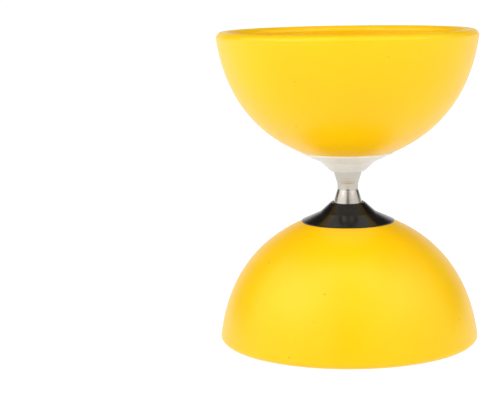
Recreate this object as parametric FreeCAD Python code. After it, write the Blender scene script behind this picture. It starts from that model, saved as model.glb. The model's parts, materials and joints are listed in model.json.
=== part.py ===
"""A ball-bearing diabolo: two rubber cups on a steel axle sleeve that turns on a clamped centre shaft.

Millimetres, +Z up, the diabolo standing on the rim of its lower cup, origin on the axis at the floor.

Most pieces are drawn for one end, in a local frame whose Z runs outwards along the axis from the
middle of the axle, and are then put at the upper end as drawn or turned over for the lower end.
Outlines are (radius, height) pairs in the XZ plane, revolved about Z.
"""
import FreeCAD, Part

import math
import os

from FreeCAD import Vector

# ---------------------------------------------------------------- driving sizes
CUP_RADIUS = 62.5
HALF_LENGTH = 75.1          # middle of the axle to the rim's crest
LIP_WIDTH = 6.7             # thickness of the cup's rim
WAIST_RADIUS = 5.0          # where the string runs
FLANGE_RADIUS = 22.4        # outer edge of a hub
SHAFT_RADIUS = 3.0          # journal the clutch rollers run on
STUD_RADIUS = 2.5           # threaded ends of the shaft, M5
THREAD_PITCH = 0.8
THREAD_DEPTH = 0.45
ROOT_START = 0.45           # flat bottom of the thread's groove, as shares of the pitch
ROOT_END = 0.55
SHAFT_CHAMFER = 0.2
STUD_CHAMFER = 0.5

FIT_GAP = 0.02              # between a shaft and what slides over it
SPHERE_GAP = 0.04           # between a ball and its grooves

# ---------------------------------------------------------------- heights along the axis, from the middle
COLLAR_FACE = 7.6           # hub's small end, round the sleeve
CREASE_HEIGHT = 12.4        # hub's cone turns into its flange
BEARING_START = 11.6
BEARING_WIDTH = 4.0
SLEEVE_END = BEARING_START + BEARING_WIDTH
RECESS_FLOOR = SLEEVE_END + 0.4
HUB_SEAT = 17.0             # hub's back lies on the cup here
HUB_BOSS_END = 19.0
CUP_FLOOR = 22.0            # inner face of the cup's middle
PLATE_END = CUP_FLOOR + 2.2
WASHER_END = PLATE_END + 1.2
NUT_HEIGHT = 5.0
NUT_END = WASHER_END + NUT_HEIGHT
SHAFT_END = NUT_END + 1.4

# ---------------------------------------------------------------- cup
LIP_DOME_RADIUS = 3.5       # the rim's crest is domed
LIP_LAND = 0.1              # depth of dome worn off flat at its crest
BAND_DEPTH = 11.6           # straight inner band, from the rim's crest
BAND_DRAFT = 0.2
CUP_HOLE_RADIUS = 8.9
OUTER_WALL_POLES = ((43.1, 25.8), (58.8, 43.3))     # bends of the wall, hub to rim
INNER_WALL_POLES = ((52.4, 48.2), (41.5, 30.2))     # bends of the inside, rim to middle
CUP_FLOOR_MARGIN = 1.5      # flat floor showing round the clamp plate

# ---------------------------------------------------------------- hub
COLLAR_RADIUS = 8.2
CREASE_RADIUS = 13.5
FLANGE_EDGE = 0.55          # thickness of the flange's edge
COLLAR_CHAMFER = 0.3
COLLAR_ROUND = 0.35
CREASE_ROUND = 0.8
RECESS_RADIUS = 7.4
HUB_WALL = 1.3
POCKET_RADIUS = 17.0
POCKET_TURN = 0.6           # the hollow turns this far inside the hub's crease
BOSS_RADIUS = 8.8
RIB_COUNT = 6
RIB_THICKNESS = 1.2
PEG_COUNT = 3
PEG_RADIUS = 1.8
PEG_CIRCLE = 19.5
PEG_ROOT = 0.5              # how far a peg reaches into the hub's back
PEG_END = PLATE_END - 0.3
PLATE_RADIUS = 23.5
PLATE_CHAMFER = 0.8

# ---------------------------------------------------------------- steel bush inside each hub
BUSH_RADIUS = 3.5
BUSH_NOSE = 3.25            # clear of the bearing's outer race
BUSH_HOLE = BUSH_RADIUS + FIT_GAP
BUSH_SEAT = 5.6

# ---------------------------------------------------------------- fasteners, M5
WASHER_RADIUS = 7.5
WASHER_PLAY = 0.15
NUT_FLATS = 8.0
NUT_BODY = 3.7              # threaded part; the rest is the collar over the nylon ring
NUT_CHAMFER = 0.45
NUT_CHAMFER_ANGLE = 30.0    # degrees
NUT_LIP = 0.25              # how far the crimped collar laps over the nylon ring
NUT_COLLAR_RADIUS = 3.85
INSERT_RADIUS = 3.3
INSERT_START = NUT_END - 1.5
INSERT_END = NUT_END - 0.25

# ---------------------------------------------------------------- axle sleeve
SLEEVE_RADIUS = 7.05
WAIST_CORNER = 1.3          # height where waist and cone would meet without their fillet
CONE_END = 7.9              # cone reaches the sleeve's full radius here, inside the collar
WAIST_ROUND = 4.0
SLEEVE_CHAMFER = 0.3
THROUGH_BORE = 3.4
RELIEF_DEPTH = 0.5          # keeps the upper bearing's inner race off the shoulder

# ---------------------------------------------------------------- ball bearing, 5 x 11 x 4
BEARING_OUTER = 5.5
INNER_LAND = 3.3
OUTER_LAND = 4.7
BALL_RADIUS = 0.8
BALL_COUNT = 9
PITCH_RADIUS = 4.0
CAGE_DEPTH = 0.3            # half the cage's thickness
CAGE_HALF_WIDTH = 1.2
SHIELD_THICKNESS = 0.2
SHIELD_GAP = 0.1            # between a shield and the inner race
SHIELD_HEIGHT = 1.55        # mid-plane to the shield's inner face
SHIELD_RADIUS = 4.87
SHIELD_SEAT_CUT = 0.5       # the seats are cut from this far inside the race's land

# ---------------------------------------------------------------- one-way roller clutch, 6 x 10 x 8
CLUTCH_RADIUS = 5.0
CLUTCH_LENGTH = 8.0
CLUTCH_START = 3.4
ROLLER_COUNT = 8
ROLLER_RADIUS = 0.74
ROLLER_CIRCLE = 3.78
ROLLER_LENGTH = 5.6
ROLLER_GAP = 0.06           # round a roller in its ramp and its slot
SHELL_BORE = 4.4
SHELL_LIP = 0.4
SHELL_LIP_GAP = 0.35        # between a lip and the journal
CLUTCH_CAGE_GAP = 0.25      # between the rollers' cage and the journal
CLUTCH_CAGE_PLAY = 0.1      # between that cage and the shell
SLOT_LENGTH = ROLLER_LENGTH + 0.2
SLOT_SPRING_SIDE = 1.3      # the slot is wider on the side of the spring
SPRING_THICKNESS = 0.1
SPRING_WIDTH = 0.5

UP = Vector(0, 0, 1)
OUT = Vector(1, 0, 0)
MIDDLE = Vector(0, 0, 0)


# ---------------------------------------------------------------- drawing helpers
def at(radius, height):
    return Vector(radius, 0, height)


def line(*corners):
    """Straight edges through (radius, height) corners."""
    points = [at(*c) for c in corners]
    return [Part.makeLine(a, b) for a, b in zip(points, points[1:])]


def arc(start, through, end):
    return [Part.Arc(at(*start), at(*through), at(*end)).toShape()]


def bezier(*poles):
    curve = Part.BezierCurve()
    curve.setPoles([at(*p) for p in poles])
    return [curve.toShape()]


def polar(centre, radius, angle):
    """A point on a circle, its angle measured from straight up towards the outside."""
    return (centre[0] + radius * math.sin(angle), centre[1] + radius * math.cos(angle))


def revolve(edges):
    """A solid of revolution about Z from the edges of a closed outline."""
    wire = Part.Wire(Part.__sortEdges__(edges))
    solid = Part.Face(wire).revolve(MIDDLE, UP, 360)
    return Part.makeSolid(solid) if solid.ShapeType == "Shell" else solid


def polygon(*corners):
    return revolve(line(*corners, corners[0]))


def ring(inner, outer, bottom, top):
    return polygon((inner, bottom), (outer, bottom), (outer, top), (inner, top))


def around(shape, count, start=0.0):
    """Copies of a shape evenly spaced about the axis."""
    copies = []
    for i in range(count):
        copy = shape.copy()
        copy.rotate(MIDDLE, UP, start + 360.0 * i / count)
        copies.append(copy)
    return copies


def fuse(shapes):
    return shapes[0].multiFuse(shapes[1:]).removeSplitter()


def fillet_arc(corner, before, after, radius):
    """Edges that round the corner between two straight runs; gives (start, edges, end)."""
    c = Vector(*corner, 0)
    to_before = (Vector(*before, 0) - c).normalize()
    to_after = (Vector(*after, 0) - c).normalize()
    half = to_before.getAngle(to_after) / 2
    start = c + to_before * (radius / math.tan(half))
    end = c + to_after * (radius / math.tan(half))
    bisector = (to_before + to_after).normalize()
    through = c + bisector * (radius / math.sin(half) - radius)
    pair = lambda v: (v.x, v.y)
    return pair(start), arc(pair(start), pair(through), pair(end)), pair(end)


# ---------------------------------------------------------------- cup
def rim():
    """The domed rim, outer edge to inner edge; gives (outer edge, edges, inner edge)."""
    centre = (CUP_RADIUS - LIP_WIDTH / 2, HALF_LENGTH + LIP_LAND - LIP_DOME_RADIUS)
    dome = lambda angle: polar(centre, LIP_DOME_RADIUS, angle)
    edge_angle = math.asin(LIP_WIDTH / 2 / LIP_DOME_RADIUS)
    land_angle = math.acos(1 - LIP_LAND / LIP_DOME_RADIUS)
    middle_angle = (edge_angle + land_angle) / 2
    edges = (
        arc(dome(edge_angle), dome(middle_angle), dome(land_angle))
        + line(dome(land_angle), dome(-land_angle))
        + arc(dome(-land_angle), dome(-middle_angle), dome(-edge_angle))
    )
    return dome(edge_angle), edges, dome(-edge_angle)


def cup():
    """A thick-rimmed rubber bowl with a flat middle for the hub and three holes for its pegs."""
    rim_edge, lip, band_top = rim()
    band_end = (band_top[0] - BAND_DRAFT, HALF_LENGTH - BAND_DEPTH)
    floor_edge = (PLATE_RADIUS + CUP_FLOOR_MARGIN, CUP_FLOOR)
    outer = bezier((FLANGE_RADIUS, HUB_SEAT), *OUTER_WALL_POLES, rim_edge)
    inner = bezier(band_end, *INNER_WALL_POLES, floor_edge)
    middle = line(
        floor_edge, (CUP_HOLE_RADIUS, CUP_FLOOR), (CUP_HOLE_RADIUS, HUB_SEAT), (FLANGE_RADIUS, HUB_SEAT))
    bowl = revolve(outer + lip + line(band_top, band_end) + inner + middle)
    return bowl.cut(around(peg_hole(), PEG_COUNT))


def peg_hole():
    return Part.makeCylinder(PEG_RADIUS + FIT_GAP, SHAFT_END, at(PEG_CIRCLE, 0))


# ---------------------------------------------------------------- hub
def hub():
    """Moulded cone that guides the string, with a recess for the sleeve's end and a ribbed back."""
    edge_top = HUB_SEAT - FLANGE_EDGE
    crease = (CREASE_RADIUS, CREASE_HEIGHT)
    collar = (COLLAR_RADIUS, COLLAR_FACE)
    mouth = (RECESS_RADIUS + COLLAR_CHAMFER, COLLAR_FACE)
    flange = (FLANGE_RADIUS, edge_top)
    collar_start, collar_round, collar_end = fillet_arc(collar, mouth, crease, COLLAR_ROUND)
    crease_start, crease_round, crease_end = fillet_arc(crease, collar, flange, CREASE_ROUND)
    outline = (
        line(mouth, collar_start) + collar_round + line(collar_end, crease_start) + crease_round
        + line(crease_end, flange, (FLANGE_RADIUS, HUB_SEAT), (BOSS_RADIUS, HUB_SEAT),
               (BOSS_RADIUS, HUB_BOSS_END), (BUSH_HOLE, HUB_BOSS_END), (BUSH_HOLE, HUB_SEAT),
               (BUSH_SEAT, HUB_SEAT), (BUSH_SEAT, RECESS_FLOOR), (RECESS_RADIUS, RECESS_FLOOR),
               (RECESS_RADIUS, COLLAR_FACE + COLLAR_CHAMFER), mouth)
    )
    body = revolve(outline).cut(hub_pockets())
    peg = Part.makeCylinder(PEG_RADIUS, PEG_END - HUB_SEAT + PEG_ROOT, at(PEG_CIRCLE, HUB_SEAT - PEG_ROOT))
    return fuse([body] + around(peg, PEG_COUNT))


def hub_pockets():
    """Hollows in the hub's back that keep its wall even, with ribs left between them."""
    slope = (CREASE_HEIGHT - COLLAR_FACE) / (CREASE_RADIUS - COLLAR_RADIUS)
    flange_slope = (HUB_SEAT - FLANGE_EDGE - CREASE_HEIGHT) / (FLANGE_RADIUS - CREASE_RADIUS)
    turn = (CREASE_RADIUS - POCKET_TURN, CREASE_HEIGHT + HUB_WALL)
    start = (BOSS_RADIUS, turn[1] - slope * (turn[0] - BOSS_RADIUS))
    end = (POCKET_RADIUS, turn[1] + flange_slope * (POCKET_RADIUS - turn[0]))
    hollow = polygon(start, turn, end, (POCKET_RADIUS, HUB_SEAT), (BOSS_RADIUS, HUB_SEAT))
    rib = Part.makeBox(
        POCKET_RADIUS - BOSS_RADIUS, RIB_THICKNESS, HUB_SEAT, Vector(BOSS_RADIUS, -RIB_THICKNESS / 2, 0))
    return hollow.cut(around(rib, RIB_COUNT, 30.0))


def clamp_plate():
    """Nylon disc inside the cup, with a spigot that meets the hub's boss and holes for the hub's pegs."""
    disc = polygon(
        (BUSH_HOLE, HUB_BOSS_END), (BOSS_RADIUS, HUB_BOSS_END), (BOSS_RADIUS, CUP_FLOOR),
        (PLATE_RADIUS, CUP_FLOOR), (PLATE_RADIUS, PLATE_END - PLATE_CHAMFER),
        (PLATE_RADIUS - PLATE_CHAMFER, PLATE_END), (BUSH_HOLE, PLATE_END))
    return disc.cut(around(peg_hole(), PEG_COUNT))


def bush():
    """Flanged steel bush: its nose bears on the bearing's inner race, and its flange carries the hub."""
    bore = STUD_RADIUS + FIT_GAP
    flange = BUSH_SEAT - FIT_GAP
    return polygon(
        (bore, SLEEVE_END), (BUSH_NOSE, SLEEVE_END), (BUSH_NOSE, RECESS_FLOOR), (flange, RECESS_FLOOR),
        (flange, HUB_SEAT), (BUSH_RADIUS, HUB_SEAT), (BUSH_RADIUS, CUP_FLOOR), (bore, CUP_FLOOR))


# ---------------------------------------------------------------- fasteners
def washer():
    return ring(STUD_RADIUS + WASHER_PLAY, WASHER_RADIUS, PLATE_END, WASHER_END)


def lock_nut():
    """Hexagon lock nut with chamfered corners and a round collar crimped over its nylon ring."""
    corner = NUT_FLATS / 2 / math.cos(math.pi / 6)
    corners = [Vector(corner * math.cos(a), corner * math.sin(a), WASHER_END)
               for a in (math.radians(60 * i) for i in range(7))]
    prism = Part.Face(Part.makePolygon(corners)).extrude(UP * NUT_BODY)
    top = WASHER_END + NUT_BODY
    rise = NUT_CHAMFER * math.tan(math.radians(NUT_CHAMFER_ANGLE))
    blank = polygon(
        (0, WASHER_END), (corner - NUT_CHAMFER, WASHER_END), (corner, WASHER_END + rise),
        (corner, top - rise), (corner - NUT_CHAMFER, top), (0, top))
    collar = polygon(
        (0, top), (NUT_COLLAR_RADIUS, top), (NUT_COLLAR_RADIUS, NUT_END - NUT_CHAMFER),
        (NUT_COLLAR_RADIUS - NUT_CHAMFER, NUT_END), (0, NUT_END))
    bore = Part.makeCylinder(STUD_RADIUS, SHAFT_END, MIDDLE)
    seat = ring(0, INSERT_RADIUS, INSERT_START, INSERT_END)
    mouth = ring(0, INSERT_RADIUS - NUT_LIP, INSERT_START, SHAFT_END)
    return prism.common(blank).fuse(collar).cut([bore, seat, mouth]).removeSplitter()


def nut_insert():
    return ring(STUD_RADIUS, INSERT_RADIUS, INSERT_START, INSERT_END)


def centre_shaft():
    """Ground journal between two threaded ends; the thread is drawn as rings of its pitch and depth."""
    crest = STUD_RADIUS - FIT_GAP
    half = [(SHAFT_RADIUS, BEARING_START - SHAFT_CHAMFER), (SHAFT_RADIUS - SHAFT_CHAMFER, BEARING_START),
            (crest, BEARING_START), (crest, PLATE_END)]
    rings = int((SHAFT_END - STUD_CHAMFER - PLATE_END) / THREAD_PITCH)
    for i in range(rings):
        foot = PLATE_END + i * THREAD_PITCH
        half.append((crest - THREAD_DEPTH, foot + THREAD_PITCH * ROOT_START))
        half.append((crest - THREAD_DEPTH, foot + THREAD_PITCH * ROOT_END))
        half.append((crest, foot + THREAD_PITCH))
    half += [(crest, SHAFT_END - STUD_CHAMFER), (crest - STUD_CHAMFER, SHAFT_END), (0, SHAFT_END)]
    other = [(r, -z) for r, z in reversed(half)]
    return polygon(*other, *half)


# ---------------------------------------------------------------- axle sleeve
def axle_sleeve():
    """Waisted steel sleeve the string runs on, bored for two ball bearings and the clutch."""
    corner = (WAIST_RADIUS, WAIST_CORNER)
    slope_end = (SLEEVE_RADIUS, CONE_END)
    start, bend, end = fillet_arc(corner, (WAIST_RADIUS, 0), slope_end, WAIST_ROUND)
    shoulder = SLEEVE_RADIUS - SLEEVE_CHAMFER
    upper = bend + line(end, slope_end, (SLEEVE_RADIUS, SLEEVE_END - SLEEVE_CHAMFER), (shoulder, SLEEVE_END))
    lower = [edge.mirror(MIDDLE, UP) for edge in upper]
    waist = line(start, (start[0], -start[1]))
    bore = line(
        (shoulder, SLEEVE_END), (BEARING_OUTER, SLEEVE_END), (BEARING_OUTER, BEARING_START),
        (OUTER_LAND, BEARING_START), (OUTER_LAND, BEARING_START - RELIEF_DEPTH),
        (THROUGH_BORE, BEARING_START - RELIEF_DEPTH), (THROUGH_BORE, -CLUTCH_START),
        (CLUTCH_RADIUS, -CLUTCH_START), (CLUTCH_RADIUS, -BEARING_START), (BEARING_OUTER, -BEARING_START),
        (BEARING_OUTER, -SLEEVE_END), (shoulder, -SLEEVE_END))
    return revolve(upper + waist + lower + bore)


# ---------------------------------------------------------------- ball bearing, drawn about its own middle
def bearing_inner_race():
    race = ring(STUD_RADIUS, INNER_LAND, -BEARING_WIDTH / 2, BEARING_WIDTH / 2)
    return race.cut(ball_groove())


def bearing_outer_race():
    race = ring(OUTER_LAND, BEARING_OUTER, -BEARING_WIDTH / 2, BEARING_WIDTH / 2)
    seats = [ring(OUTER_LAND - SHIELD_SEAT_CUT, SHIELD_RADIUS, z0, z1)
             for z0, z1 in ((SHIELD_HEIGHT, BEARING_WIDTH), (-BEARING_WIDTH, -SHIELD_HEIGHT))]
    return race.cut([ball_groove()] + seats)


def ball_groove():
    return Part.makeTorus(PITCH_RADIUS, BALL_RADIUS + SPHERE_GAP)


def bearing_balls():
    ball = Part.makeSphere(BALL_RADIUS, at(PITCH_RADIUS, 0))
    return Part.makeCompound(around(ball, BALL_COUNT))


def bearing_cage():
    """Thin ring with a round hole for each ball."""
    blank = ring(PITCH_RADIUS - CAGE_DEPTH, PITCH_RADIUS + CAGE_DEPTH, -CAGE_HALF_WIDTH, CAGE_HALF_WIDTH)
    pocket = Part.makeCylinder(BALL_RADIUS + SPHERE_GAP, PITCH_RADIUS, at(PITCH_RADIUS / 2, 0), OUT)
    return blank.cut(around(pocket, BALL_COUNT))


def bearing_shields():
    shield = ring(INNER_LAND + SHIELD_GAP, SHIELD_RADIUS, SHIELD_HEIGHT, SHIELD_HEIGHT + SHIELD_THICKNESS)
    return Part.makeCompound([shield, shield.mirror(MIDDLE, UP)])


# ---------------------------------------------------------------- one-way clutch, drawn about its own middle
def clutch_shell():
    """Drawn steel cup with a turned-in lip at each end and a ramp pocket over each roller."""
    half = CLUTCH_LENGTH / 2
    lip_radius = SHAFT_RADIUS + SHELL_LIP_GAP
    shell = polygon(
        (lip_radius, -half), (CLUTCH_RADIUS, -half), (CLUTCH_RADIUS, half), (lip_radius, half),
        (lip_radius, half - SHELL_LIP), (SHELL_BORE, half - SHELL_LIP),
        (SHELL_BORE, SHELL_LIP - half), (lip_radius, SHELL_LIP - half))
    ramp = Part.makeCylinder(
        ROLLER_RADIUS + ROLLER_GAP, CLUTCH_LENGTH - 2 * SHELL_LIP, at(ROLLER_CIRCLE, SHELL_LIP - half))
    return shell.cut(around(ramp, ROLLER_COUNT))


def clutch_rollers():
    roller = Part.makeCylinder(ROLLER_RADIUS, ROLLER_LENGTH, at(ROLLER_CIRCLE, -ROLLER_LENGTH / 2))
    return Part.makeCompound(around(roller, ROLLER_COUNT))


def clutch_cage():
    """Plastic ring that keeps the rollers apart, with a slot for each roller and its spring."""
    half = CLUTCH_LENGTH / 2 - SHELL_LIP - FIT_GAP
    blank = ring(SHAFT_RADIUS + CLUTCH_CAGE_GAP, SHELL_BORE - CLUTCH_CAGE_PLAY, -half, half)
    free_side = ROLLER_RADIUS + ROLLER_GAP
    slot = Part.makeBox(SHAFT_RADIUS, SLOT_SPRING_SIDE + free_side, SLOT_LENGTH,
                        Vector(SHAFT_RADIUS, -free_side, -SLOT_LENGTH / 2))
    return blank.cut(around(slot, ROLLER_COUNT))


def clutch_springs():
    """A bowed strip in each slot that pushes its roller up the ramp."""
    foot = SLOT_SPRING_SIDE - SPRING_THICKNESS - FIT_GAP
    crest = ROLLER_RADIUS + ROLLER_GAP
    reach = SLOT_LENGTH / 2 - SHELL_LIP
    inner = ROLLER_CIRCLE - SPRING_WIDTH / 2
    near = [Vector(inner, foot, -reach), Vector(inner, crest, 0), Vector(inner, foot, reach)]
    far = [point + Vector(0, SPRING_THICKNESS, 0) for point in near]
    outline = Part.Wire([
        Part.Arc(*near).toShape(), Part.makeLine(near[2], far[2]),
        Part.Arc(*reversed(far)).toShape(), Part.makeLine(far[0], near[0])])
    strip = Part.Face(outline).extrude(OUT * SPRING_WIDTH)
    return Part.makeCompound(around(strip, ROLLER_COUNT))


# ---------------------------------------------------------------- assembly
def to_upper(shape):
    placed = shape.copy()
    placed.translate(UP * HALF_LENGTH)
    return placed


def to_lower(shape):
    placed = shape.copy()
    placed.rotate(MIDDLE, OUT, 180)
    placed.translate(UP * HALF_LENGTH)
    return placed


def raised(shape, height):
    moved = shape.copy()
    moved.translate(UP * height)
    return moved


def all_parts():
    """Every node's name and its solids, in place."""
    parts = {
        "white_hub": to_upper(hub()),
        "black_hub": to_lower(hub()),
        "centre_shaft": to_upper(centre_shaft()),
        "axle_sleeve": to_upper(axle_sleeve()),
    }
    bearing_middle = BEARING_START + BEARING_WIDTH / 2
    for end, place in (("upper", to_upper), ("lower", to_lower)):
        pieces = {"cup": cup(), "clamp_plate": clamp_plate(), "hub_bush": bush(), "washer": washer(),
                  "lock_nut": lock_nut(), "nut_nylon_ring": nut_insert()}
        bearing = {"inner_race": bearing_inner_race(), "outer_race": bearing_outer_race(),
                   "balls": bearing_balls(), "ball_cage": bearing_cage(), "shields": bearing_shields()}
        for name, shape in pieces.items():
            parts[f"{end}_{name}"] = place(shape)
        for name, shape in bearing.items():
            parts[f"{end}_bearing_{name}"] = place(raised(shape, bearing_middle))
    clutch = {"shell": clutch_shell(), "rollers": clutch_rollers(), "cage": clutch_cage(),
              "springs": clutch_springs()}
    for name, shape in clutch.items():
        parts[f"clutch_{name}"] = to_lower(raised(shape, CLUTCH_START + CLUTCH_LENGTH / 2))
    return parts


def main():
    os.makedirs("parts", exist_ok=True)
    for name, shape in all_parts().items():
        bad = [s for s in shape.Solids if not s.isValid() or s.Volume <= 0]
        if not shape.Solids or bad:
            raise RuntimeError(f"{name} has {len(shape.Solids)} solids, {len(bad)} of them bad")
        shape.exportStep(f"parts/{name}.step")
        print(f"{name}: {len(shape.Solids)} solid(s), {shape.Volume / 1000:.3f} cm3")


main()
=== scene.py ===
"""Looks of a ball-bearing diabolo: soft rubber cups, moulded hubs and a turned steel axle sleeve.

Metres, +Z up, in the CAD model's own frame, with the diabolo's axis on Z. Turned pieces come from outlines
of (radius, height) points in millimetres, drawn for the upper end, with heights from the axle's middle.
"""
import json
import math

import bmesh
import bpy
from mathutils import Matrix, Vector


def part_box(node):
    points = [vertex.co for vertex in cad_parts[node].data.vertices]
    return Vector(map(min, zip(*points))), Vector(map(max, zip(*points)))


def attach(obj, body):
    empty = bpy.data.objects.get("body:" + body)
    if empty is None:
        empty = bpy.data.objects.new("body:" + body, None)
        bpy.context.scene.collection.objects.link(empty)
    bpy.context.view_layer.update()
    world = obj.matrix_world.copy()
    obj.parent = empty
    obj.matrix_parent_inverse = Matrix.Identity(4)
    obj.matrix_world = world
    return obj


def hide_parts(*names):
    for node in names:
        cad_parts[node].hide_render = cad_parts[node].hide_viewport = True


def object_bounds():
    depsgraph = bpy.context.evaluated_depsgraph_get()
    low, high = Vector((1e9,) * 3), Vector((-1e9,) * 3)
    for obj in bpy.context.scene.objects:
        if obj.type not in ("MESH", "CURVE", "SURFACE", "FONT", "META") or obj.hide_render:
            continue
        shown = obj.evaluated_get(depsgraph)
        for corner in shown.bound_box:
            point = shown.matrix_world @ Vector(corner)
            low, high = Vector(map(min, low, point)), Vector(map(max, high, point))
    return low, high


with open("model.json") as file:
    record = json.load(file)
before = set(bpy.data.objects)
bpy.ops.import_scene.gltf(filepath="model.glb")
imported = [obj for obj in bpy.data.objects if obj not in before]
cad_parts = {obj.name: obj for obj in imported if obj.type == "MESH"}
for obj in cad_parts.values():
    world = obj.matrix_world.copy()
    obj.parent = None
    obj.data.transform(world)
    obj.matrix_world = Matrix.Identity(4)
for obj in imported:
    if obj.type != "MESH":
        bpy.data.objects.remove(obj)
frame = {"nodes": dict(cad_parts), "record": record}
cad_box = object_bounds()

MM = 0.001
MIDDLE = (cad_box[0].z + cad_box[1].z) / 2
NODES = frame["nodes"]


def reach(node):
    """A node's radius, and its nearer and further ends' distances from the axle's middle, in millimetres."""
    low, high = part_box(node)
    near, far = sorted((abs(low.z - MIDDLE), abs(high.z - MIDDLE)))
    return high.x / MM, near / MM, far / MM


# ---------------------------------------------------------------- sizes in millimetres
CUP_RADIUS, CUP_BACK, CUP_CREST = reach("upper_cup")
HUB_RADIUS = reach("white_hub")[0]
PLATE_RADIUS = reach("upper_clamp_plate")[0]
SHAFT_END = reach("centre_shaft")[2]
SLEEVE_RADIUS, _, SLEEVE_END = reach("axle_sleeve")

RIM_WIDTH = 6.7
RIM_DOME = 3.5                                      # radius of the rim's rounded crest
RIM_WORN = 0.1                                      # height of the dome that is rubbed flat
BAND_DEPTH = 11.6                                   # straight band inside the rim, from the crest down
BAND_TAPER = 0.2                                    # how far the band leans in over its depth
OUTER_WALL_POLES = ((43.1, 25.8), (58.8, 43.3))     # from the hub's flange out to the rim
INNER_WALL_POLES = ((52.4, 48.2), (41.5, 30.2))     # from the band in to the bowl's flat middle
BOWL_FLOOR = 22.0
BOWL_FLOOR_MARGIN = 1.5                             # flat that shows round the clamp plate
CUP_HOLE = 8.9

WAIST_RADIUS = 5.0
WAIST_CORNER = 1.3                                  # height where the straight waist and the cone would meet
WAIST_ROUND = 4.0
CONE_END = 7.9                                      # height where the cone reaches the sleeve's full radius
SLEEVE_EASE = 0.3
RACE_BORE = 5.5
RACE_SEAT = 11.6                                    # height where the outer race rests
LAND_BORE = 4.7                                     # the outer race rests on the ledge outside this radius
LAND_DEPTH = 0.5
THROUGH_BORE = 3.4
CLUTCH_BORE = 5.0
CLUTCH_START = 3.4                                  # how far below the middle the clutch's bore begins

JOURNAL_RADIUS = 3.0
JOURNAL_END = 11.6
JOURNAL_CHAMFER = 0.2
STUD_RADIUS = 2.48
STUD_CHAMFER = 0.5
THREAD_START = 17.6
THREAD_PITCH = 0.8
THREAD_DEPTH = 0.45
THREAD_FLAT = 0.12                                  # share of half a pitch left flat at crest and floor
THREAD_RUN_IN = 0.8                                 # height over which the groove reaches its full depth

# ---------------------------------------------------------------- fineness of the meshes
TURN_STEPS = 256
DOME_STEPS = 10
OUTER_WALL_STEPS = 64
INNER_WALL_STEPS = 56
WAIST_STEPS = 20
EASE_STEPS = 5
SHAFT_STEPS = 96
THREAD_ROW = 0.05                                   # millimetres between the rows of the thread
WELD_DISTANCE = 1e-7                                # metres
SHARP_DEGREES = 35                                  # edges that turn by more than this stay crisp
CUP_SHARP_DEGREES = 12
THREAD_SHARP_DEGREES = 30

# ---------------------------------------------------------------- studio, in metres, watts and radians
# The lens and the sensor are in millimetres.
CAMERA_DISTANCE = 0.720
CAMERA_HEIGHT = 0.1781
CAMERA_YAW = -0.0659
CAMERA_PITCH = 0.1506
CAMERA_ROLL = -0.0165
CAMERA_LENS = 108.0
CAMERA_SENSOR = 36.0
CAMERA_CLIP = (0.01, 20.0)

SIDE_LIGHTS = (("left", -1, 1.18), ("right", 1, 0.90))      # name, side and share of the power
SOFTBOX_PLACE = (0.78, -0.487, 0.62)
SOFTBOX_SIZE = (2.15, 1.35)
SOFTBOX_POWER = 9.3
CORE_PLACE = (0.72, -0.45, 0.70)
CORE_SIZE = (0.75, 0.6)
CORE_POWER = 1.9
TOP_PLACE = (0, -0.35, 1.1)
TOP_SIZE = (1.0, 0.5)
TOP_POWER = 3.0

# The backdrop's edges, as the part of a direction that points ahead or up: faded out, then full.
PAPER_AHEAD = (0.70, 0.92)
PAPER_UP = (0.42, 0.18)
HORIZON_UP = (-0.06, 0.02)
ROOM_GREY = (0.04, 0.04, 0.04, 1.0)
PAPER_WHITE = (1.0, 1.0, 1.0, 1.0)
TABLE_BROWN = (0.42, 0.33, 0.24, 1.0)
FLOOR_HALF = 30.0


# ---------------------------------------------------------------- outlines
def arc(centre, radius, start, end):
    """Points on a circle; angles in degrees, from straight out along the axis towards the outside."""
    points = []
    for i in range(DOME_STEPS + 1):
        a = math.radians(start + (end - start) * i / DOME_STEPS)
        points.append((centre[0] + radius * math.sin(a), centre[1] + radius * math.cos(a)))
    return points


def bezier(poles, steps):
    """Points on a cubic curve between the first and the last of four poles."""
    p = [Vector(pole) for pole in poles]
    points = []
    for i in range(steps + 1):
        t = i / steps
        q = p[0] * (1 - t) ** 3 + p[1] * 3 * t * (1 - t) ** 2 + p[2] * 3 * t * t * (1 - t) + p[3] * t ** 3
        points.append((q.x, q.y))
    return points


def fillet(before, corner, after, radius, steps):
    """Points on the arc that rounds a corner between two straight runs."""
    c = Vector(corner)
    to_before = (Vector(before) - c).normalized()
    to_after = (Vector(after) - c).normalized()
    half = to_before.angle(to_after) / 2
    centre = c + (to_before + to_after).normalized() * (radius / math.sin(half))
    trimmed = radius / math.tan(half)
    first = c + to_before * trimmed - centre
    last = c + to_after * trimmed - centre
    begin = math.atan2(first.y, first.x)
    sweep = (math.atan2(last.y, last.x) - begin + math.pi) % (2 * math.pi) - math.pi
    angles = [begin + sweep * i / steps for i in range(steps + 1)]
    return [(centre.x + radius * math.cos(a), centre.y + radius * math.sin(a)) for a in angles]


# ---------------------------------------------------------------- mesh helpers
def mesh_object(name, vertices, faces, material, sharp_degrees):
    """A smooth-shaded mesh whose edges stay crisp where its faces turn by more than an angle."""
    mesh = bpy.data.meshes.new(name)
    mesh.from_pydata(vertices, [], faces)
    bm = bmesh.new()
    bm.from_mesh(mesh)
    bmesh.ops.remove_doubles(bm, verts=bm.verts, dist=WELD_DISTANCE)
    bmesh.ops.recalc_face_normals(bm, faces=bm.faces)
    bm.to_mesh(mesh)
    bm.free()
    mesh.polygons.foreach_set("use_smooth", [True] * len(mesh.polygons))
    mesh.set_sharp_from_angle(angle=math.radians(sharp_degrees))
    mesh.materials.append(material)
    obj = bpy.data.objects.new(name, mesh)
    bpy.context.scene.collection.objects.link(obj)
    return obj


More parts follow.
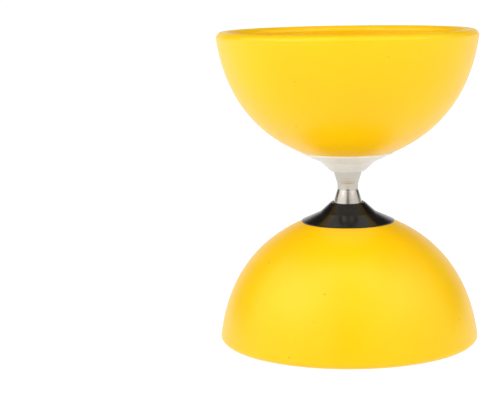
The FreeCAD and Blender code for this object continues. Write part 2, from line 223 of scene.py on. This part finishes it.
def ring_vertex(radius, height, step, steps):
    """A point of a turned ring, from millimetres to the frame's metres."""
    a = 2 * math.pi * step / steps
    return radius * MM * math.cos(a), radius * MM * math.sin(a), MIDDLE + height * MM


def ring_faces(ring, next_ring, steps):
    """The band of faces that joins two rings of vertices, given by their numbers."""
    faces = []
    for i in range(steps):
        n = (i + 1) % steps
        faces.append((ring * steps + i, ring * steps + n, next_ring * steps + n, next_ring * steps + i))
    return faces


def turned(name, outline, material, sharp_degrees, end=1):
    """A closed outline turned about Z, for the upper end (end=1) or the lower end (end=-1)."""
    vertices = []
    for r, h in outline:
        for i in range(TURN_STEPS):
            vertices.append(ring_vertex(r, end * h, i, TURN_STEPS))
    count = len(outline)
    faces = []
    for j in range(count):
        faces += ring_faces(j, (j + 1) % count, TURN_STEPS)
    return mesh_object(name, vertices, faces, material, sharp_degrees)


def finish_piece(piece, body, node):
    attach(piece, body)
    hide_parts(node)


# ---------------------------------------------------------------- material helpers
class Nodes:
    """A material's node tree, with short ways to add what its surface needs."""

    def __init__(self, name):
        self.material = bpy.data.materials.new(name)
        self.material.use_nodes = True
        self.tree = self.material.node_tree
        self.shader = self.tree.nodes["Principled BSDF"]
        self.coordinates = self.add("ShaderNodeTexCoord").outputs["Object"]

    def add(self, kind, **settings):
        node = self.tree.nodes.new(kind)
        for key, value in settings.items():
            setattr(node, key, value)
        return node

    def link(self, source, target):
        self.tree.links.new(source, target)

    def set(self, **values):
        """Sets shader inputs directly; an underscore stands for the space in an input's name."""
        for key, value in values.items():
            self.shader.inputs[key.replace("_", " ")].default_value = value

    def scaled(self, x, y, z):
        """The object's coordinates, scaled differently along each axis."""
        mapping = self.add("ShaderNodeMapping")
        mapping.inputs["Scale"].default_value = (x, y, z)
        self.link(self.coordinates, mapping.inputs["Vector"])
        return mapping.outputs["Vector"]

    def noise(self, scale, detail, roughness=0.5, vector=None):
        noise = self.add("ShaderNodeTexNoise")
        noise.inputs["Scale"].default_value = scale
        noise.inputs["Detail"].default_value = detail
        noise.inputs["Roughness"].default_value = roughness
        self.link(vector or self.coordinates, noise.inputs["Vector"])
        return noise.outputs["Fac"]

    def between(self, value, low, high, to_low=0.0, to_high=1.0):
        """A value's range low to high, stretched to fill to_low to to_high."""
        span = self.add("ShaderNodeMapRange")
        for key, number in (("From Min", low), ("From Max", high), ("To Min", to_low), ("To Max", to_high)):
            span.inputs[key].default_value = number
        self.link(value, span.inputs["Value"])
        return span.outputs["Result"]

    def mix(self, factor, first, second):
        """A blend of two colours, each of them a plain colour or another node's output."""
        mix = self.add("ShaderNodeMix", data_type="RGBA")
        self.link(factor, mix.inputs["Factor"])
        for socket, colour in ((mix.inputs[6], first), (mix.inputs[7], second)):
            if isinstance(colour, tuple):
                socket.default_value = (*colour, 1.0)
            else:
                self.link(colour, socket)
        return mix.outputs[2]

    def clouded(self, scale, dark, light, detail=3, spread=(0.35, 0.65)):
        """A base colour that drifts between two near ones in soft clouds."""
        return self.mix(self.between(self.noise(scale, detail), *spread), dark, light)

    def bump(self, height, distance, strength, normal=None):
        bump = self.add("ShaderNodeBump")
        bump.inputs["Distance"].default_value = distance
        bump.inputs["Strength"].default_value = strength
        self.link(height, bump.inputs["Height"])
        if normal:
            self.link(normal, bump.inputs["Normal"])
        return bump.outputs["Normal"]

    def colour(self, socket):
        self.link(socket, self.shader.inputs["Base Color"])

    def roughness(self, noise, smoothest, roughest, spread=(0.3, 0.7)):
        self.link(self.between(noise, *spread, smoothest, roughest), self.shader.inputs["Roughness"])

    def normal(self, socket):
        self.link(socket, self.shader.inputs["Normal"])


# ---------------------------------------------------------------- materials
def cup_rubber():
    """Matt yellow rubber: faint clouds, a few brown specks, slow waves and a fine grain."""
    n = Nodes("cup_rubber")
    yellow = n.clouded(22, (0.97, 0.56, 0.0), (0.97, 0.59, 0.0))
    specks = n.between(n.noise(scale=420, detail=2, roughness=0.4), 0.765, 0.80)
    n.colour(n.mix(specks, yellow, (0.55, 0.33, 0.05)))
    n.roughness(n.noise(scale=900, detail=3, roughness=0.6), smoothest=0.30, roughest=0.38)
    grain = n.bump(n.noise(scale=5200, detail=2, roughness=0.6), distance=0.00004, strength=0.3)
    waves = n.bump(n.noise(scale=160, detail=3), distance=0.00012, strength=0.35, normal=grain)
    n.normal(waves)
    n.set(IOR=1.55, Specular_Tint=(1.0, 0.95, 0.45, 1.0))
    n.set(Subsurface_Weight=0.12, Subsurface_Scale=0.004, Subsurface_Radius=(1.0, 0.5, 0.05))
    return n.material


def white_plastic():
    """Moulded white plastic with a fine satin skin."""
    n = Nodes("white_plastic")
    n.colour(n.clouded(90, (0.88, 0.88, 0.85), (0.91, 0.91, 0.88)))
    n.roughness(n.noise(scale=1500, detail=2), smoothest=0.33, roughest=0.42)
    n.normal(n.bump(n.noise(scale=2400, detail=2), distance=0.00003, strength=0.3))
    n.set(IOR=1.49, Subsurface_Weight=0.15, Subsurface_Scale=0.002)
    return n.material


def black_plastic():
    """Moulded black plastic, glossier than the white."""
    n = Nodes("black_plastic")
    n.colour(n.clouded(200, (0.006, 0.005, 0.004), (0.010, 0.008, 0.006)))
    n.roughness(n.noise(scale=700, detail=4, roughness=0.6), smoothest=0.12, roughest=0.2)
    n.normal(n.bump(n.noise(scale=300, detail=3), distance=0.00005, strength=0.2))
    n.set(IOR=1.45, Specular_IOR_Level=0.38)
    return n.material


def turned_steel():
    """Steel with the lathe's fine rings, which are noise drawn out thin along the axis."""
    n = Nodes("turned_steel")
    rings = n.noise(scale=1.0, detail=3, roughness=0.7, vector=n.scaled(30, 30, 9000))
    broad = n.noise(scale=1.0, detail=2, vector=n.scaled(20, 20, 1500))
    n.colour(n.mix(n.between(broad, 0.3, 0.7), (0.52, 0.48, 0.425), (0.59, 0.55, 0.49)))
    n.roughness(rings, smoothest=0.2, roughest=0.34, spread=(0.25, 0.75))
    n.normal(n.bump(rings, distance=0.00002, strength=0.35))
    n.set(Metallic=1.0)
    return n.material


def zinc_steel():
    """Dull zinc plating on the shaft and its fixings."""
    n = Nodes("zinc_steel")
    patches = n.noise(scale=260, detail=4, roughness=0.6)
    n.colour(n.mix(n.between(patches, 0.3, 0.7), (0.60, 0.60, 0.57), (0.72, 0.72, 0.69)))
    n.roughness(n.noise(scale=1200, detail=3, roughness=0.6), smoothest=0.26, roughest=0.4)
    n.normal(n.bump(n.noise(scale=2200, detail=3, roughness=0.6), distance=0.00003, strength=0.4))
    n.set(Metallic=1.0)
    return n.material


def bearing_steel():
    """Ground and polished steel, with faint marks round the axis."""
    n = Nodes("bearing_steel")
    n.colour(n.clouded(300, (0.66, 0.66, 0.67), (0.74, 0.74, 0.75), detail=2, spread=(0.3, 0.7)))
    marks = n.noise(scale=1.0, detail=2, roughness=0.6, vector=n.scaled(60, 60, 6000))
    n.roughness(marks, smoothest=0.1, roughest=0.18)
    n.set(Metallic=1.0)
    return n.material


def cage_steel():
    """Pressed sheet steel."""
    n = Nodes("cage_steel")
    n.colour(n.clouded(500, (0.50, 0.50, 0.50), (0.60, 0.60, 0.59), spread=(0.3, 0.7)))
    n.roughness(n.noise(scale=2000, detail=3, roughness=0.6), smoothest=0.28, roughest=0.42)
    n.set(Metallic=1.0)
    return n.material


def nylon(name, dark, light, smoothest, roughest, grain):
    """Plain moulded nylon, with a grain of its own scale."""
    n = Nodes(name)
    n.colour(n.clouded(150, dark, light))
    n.roughness(n.noise(scale=1200, detail=3, roughness=0.6), smoothest, roughest)
    n.normal(n.bump(n.noise(scale=grain, detail=3, roughness=0.6), distance=0.00005, strength=0.5))
    n.set(IOR=1.5)
    return n.material


MATERIALS = {
    "cup_rubber": cup_rubber(),
    "white_plastic": white_plastic(),
    "black_plastic": black_plastic(),
    "turned_steel": turned_steel(),
    "zinc_steel": zinc_steel(),
    "bearing_steel": bearing_steel(),
    "cage_steel": cage_steel(),
    "cage_nylon": nylon("cage_nylon", (0.60, 0.53, 0.38), (0.68, 0.61, 0.46),
                        smoothest=0.4, roughest=0.5, grain=1800),
    "black_nylon": nylon("black_nylon", (0.016, 0.016, 0.017), (0.026, 0.026, 0.027),
                         smoothest=0.42, roughest=0.58, grain=2600),
    "blue_nylon": nylon("blue_nylon", (0.02, 0.06, 0.30), (0.03, 0.09, 0.38),
                        smoothest=0.3, roughest=0.4, grain=1800),
}


def dress_model():
    """Gives every node of the model the material of its own slot."""
    for part in frame["record"]["subparts"]:
        mesh = NODES[part["node"]].data
        mesh.materials.clear()
        mesh.materials.append(MATERIALS[part["material_slot"]])
        mesh.polygons.foreach_set("material_index", [0] * len(mesh.polygons))


# ---------------------------------------------------------------- cups
def cup_outline():
    """The cup's section: outer wall, domed rim, straight inner band, inner wall, flat middle."""
    centre = (CUP_RADIUS - RIM_WIDTH / 2, CUP_CREST + RIM_WORN - RIM_DOME)
    edge_angle = math.degrees(math.asin(RIM_WIDTH / 2 / RIM_DOME))
    worn_angle = math.degrees(math.acos(1 - RIM_WORN / RIM_DOME))
    outer_dome = arc(centre, RIM_DOME, edge_angle, worn_angle)
    inner_dome = arc(centre, RIM_DOME, -worn_angle, -edge_angle)
    band_end = (inner_dome[-1][0] - BAND_TAPER, CUP_CREST - BAND_DEPTH)
    floor_edge = (PLATE_RADIUS + BOWL_FLOOR_MARGIN, BOWL_FLOOR)
    outline = bezier([(HUB_RADIUS, CUP_BACK), *OUTER_WALL_POLES, outer_dome[0]], OUTER_WALL_STEPS)
    outline += outer_dome[1:] + inner_dome
    outline += bezier([band_end, *INNER_WALL_POLES, floor_edge], INNER_WALL_STEPS)
    outline += [(CUP_HOLE, BOWL_FLOOR), (CUP_HOLE, CUP_BACK)]
    return outline


def cups():
    for end, name in ((1, "upper_cup"), (-1, "lower_cup")):
        piece = turned(name + "_bowl", cup_outline(), MATERIALS["cup_rubber"], CUP_SHARP_DEGREES, end)
        finish_piece(piece, "cups", name)


# ---------------------------------------------------------------- sleeve
def sleeve():
    """Waisted sleeve: a short straight waist, filleted into a cone each way, and its stepped bore."""
    edge = (SLEEVE_RADIUS, SLEEVE_END)
    cone_edge = (SLEEVE_RADIUS, CONE_END)
    upper = fillet((WAIST_RADIUS, 0), (WAIST_RADIUS, WAIST_CORNER), cone_edge, WAIST_ROUND, WAIST_STEPS)
    upper.append(cone_edge)
    upper += fillet(cone_edge, edge, (RACE_BORE, SLEEVE_END), SLEEVE_EASE, EASE_STEPS)
    lower = [(r, -h) for r, h in reversed(upper)]
    land = RACE_SEAT - LAND_DEPTH
    bore = [(RACE_BORE, SLEEVE_END), (RACE_BORE, RACE_SEAT), (LAND_BORE, RACE_SEAT), (LAND_BORE, land),
            (THROUGH_BORE, land), (THROUGH_BORE, -CLUTCH_START), (CLUTCH_BORE, -CLUTCH_START),
            (CLUTCH_BORE, -RACE_SEAT), (RACE_BORE, -RACE_SEAT), (RACE_BORE, -SLEEVE_END)]
    outline = lower + upper + bore
    piece = turned("axle_sleeve_turned", outline, MATERIALS["turned_steel"], SHARP_DEGREES)
    finish_piece(piece, "sleeve", "axle_sleeve")


# ---------------------------------------------------------------- shaft
def groove_depth(height, turn):
    """How deep the thread's groove is at a height and a share of a turn, with its floor and crest flat."""
    rise = abs((height / THREAD_PITCH - turn) % 1.0 - 0.5) * 2
    return THREAD_DEPTH * min(max((1 - rise - THREAD_FLAT) / (1 - 2 * THREAD_FLAT), 0.0), 1.0)


def stud_radius(height, turn):
    """Radius of the threaded stud, whose groove runs in slowly and whose end is chamfered."""
    from_middle = abs(height)
    run_in = min(1.0, (from_middle - THREAD_START) / THREAD_RUN_IN)
    grooved = STUD_RADIUS - groove_depth(height, turn) * run_in
    return min(grooved, STUD_RADIUS - STUD_CHAMFER + (SHAFT_END - from_middle))


def shaft_rows():
    """(radius, height) rows from the lower end to the upper; the thread's rows have no one radius."""
    upper = [(JOURNAL_RADIUS, JOURNAL_END - JOURNAL_CHAMFER),
             (JOURNAL_RADIUS - JOURNAL_CHAMFER, JOURNAL_END), (STUD_RADIUS, JOURNAL_END)]
    threaded = SHAFT_END - THREAD_START
    count = round(threaded / THREAD_ROW)
    upper += [(None, THREAD_START + threaded * i / count) for i in range(count + 1)]
    lower = [(r, -h) for r, h in reversed(upper)]
    return lower + [(JOURNAL_RADIUS, 0.0)] + upper


def shaft():
    """Ground journal with a rolled M5 thread on each end."""
    rows = shaft_rows()
    vertices = []
    for r, h in rows:
        for i in range(SHAFT_STEPS):
            radius = stud_radius(h, i / SHAFT_STEPS) if r is None else r
            vertices.append(ring_vertex(radius, h, i, SHAFT_STEPS))
    faces = []
    for j in range(len(rows) - 1):
        faces += ring_faces(j, j + 1, SHAFT_STEPS)
    faces.append(tuple(reversed(range(SHAFT_STEPS))))
    faces.append(tuple(range((len(rows) - 1) * SHAFT_STEPS, len(rows) * SHAFT_STEPS)))
    zinc = MATERIALS["zinc_steel"]
    piece = mesh_object("centre_shaft_threaded", vertices, faces, zinc, THREAD_SHARP_DEGREES)
    finish_piece(piece, "cups", "centre_shaft")


# ---------------------------------------------------------------- studio
def camera():
    """A little above the upper rim, aimed down to the axle's middle and to the left of the diabolo."""
    yaw, pitch, roll = CAMERA_YAW, CAMERA_PITCH, CAMERA_ROLL
    forward = Vector((math.sin(yaw) * math.cos(pitch), math.cos(yaw) * math.cos(pitch), -math.sin(pitch)))
    right = forward.cross(Vector((0, 0, 1))).normalized()
    up = right.cross(forward)
    rolled_right = right * math.cos(roll) + up * math.sin(roll)
    rolled_up = up * math.cos(roll) - right * math.sin(roll)
    data = bpy.data.cameras.new("camera")
    data.sensor_width = CAMERA_SENSOR
    data.lens = CAMERA_LENS
    data.clip_start, data.clip_end = CAMERA_CLIP
    obj = bpy.data.objects.new("camera", data)
    bpy.context.scene.collection.objects.link(obj)
    basis = Matrix((rolled_right, rolled_up, -forward)).transposed()
    obj.matrix_world = Matrix.Translation((0, -CAMERA_DISTANCE, CAMERA_HEIGHT)) @ basis.to_4x4()
    bpy.context.scene.camera = obj


def softbox(name, place, size, power, side=1):
    """A white rectangular light facing the diabolo, on the right (side=1) or the left (side=-1)."""
    data = bpy.data.lights.new(name, "AREA")
    data.shape = "RECTANGLE"
    data.size, data.size_y = size
    data.energy = power
    obj = bpy.data.objects.new(name, data)
    obj.location = (side * place[0], place[1], place[2])
    obj.rotation_euler = (Vector((0, 0, MIDDLE)) - obj.location).to_track_quat("-Z", "Y").to_euler()
    bpy.context.scene.collection.objects.link(obj)


def sky(tree):
    """A dark room with white paper low down ahead, and warm brown table below the horizon."""
    background = tree.nodes["Background"]
    split = tree.nodes.new("ShaderNodeSeparateXYZ")
    coordinates = tree.nodes.new("ShaderNodeTexCoord")
    tree.links.new(coordinates.outputs["Generated"], split.inputs["Vector"])
    ramps = []
    for axis, (faded_out, full) in (("Y", PAPER_AHEAD), ("Z", PAPER_UP), ("Z", HORIZON_UP)):
        ramp = tree.nodes.new("ShaderNodeMapRange")
        ramp.inputs["From Min"].default_value = faded_out
        ramp.inputs["From Max"].default_value = full
        tree.links.new(split.outputs[axis], ramp.inputs["Value"])
        ramps.append(ramp.outputs["Result"])
    ahead, low_enough, above_horizon = ramps
    paper = tree.nodes.new("ShaderNodeMath")
    paper.operation = "MULTIPLY"
    tree.links.new(ahead, paper.inputs[0])
    tree.links.new(low_enough, paper.inputs[1])
    room = tree.nodes.new("ShaderNodeMix")
    room.data_type = "RGBA"
    room.inputs[6].default_value = ROOM_GREY
    room.inputs[7].default_value = PAPER_WHITE
    tree.links.new(paper.outputs[0], room.inputs["Factor"])
    whole = tree.nodes.new("ShaderNodeMix")
    whole.data_type = "RGBA"
    whole.inputs[6].default_value = TABLE_BROWN
    tree.links.new(room.outputs[2], whole.inputs[7])
    tree.links.new(above_horizon, whole.inputs["Factor"])
    tree.links.new(whole.outputs[2], background.inputs["Color"])


def studio():
    scene = bpy.context.scene
    scene.view_settings.view_transform = "Standard"
    world = bpy.data.worlds.new("studio")
    world.use_nodes = True
    sky(world.node_tree)
    scene.world = world
    for name, side, share in SIDE_LIGHTS:
        softbox(name + "_softbox", SOFTBOX_PLACE, SOFTBOX_SIZE, SOFTBOX_POWER * share, side)
        softbox(name + "_softbox_core", CORE_PLACE, CORE_SIZE, CORE_POWER * share, side)
    softbox("top_softbox", TOP_PLACE, TOP_SIZE, TOP_POWER)
    floor()


def floor():
    """Lit paper, evenly white out to its far edge."""
    n = Nodes("floor_paper")
    n.colour(n.clouded(3, (0.05, 0.05, 0.05), (0.07, 0.07, 0.07), detail=2, spread=(0.3, 0.7)))
    n.set(Roughness=0.9, Emission_Strength=1.0, Emission_Color=(1, 1, 1, 1))
    corners = [(-FLOOR_HALF, -FLOOR_HALF, 0), (FLOOR_HALF, -FLOOR_HALF, 0),
               (FLOOR_HALF, FLOOR_HALF, 0), (-FLOOR_HALF, FLOOR_HALF, 0)]
    obj = mesh_object("floor", corners, [(0, 1, 2, 3)], n.material, SHARP_DEGREES)


camera()
studio()
dress_model()
cups()
sleeve()
shaft()
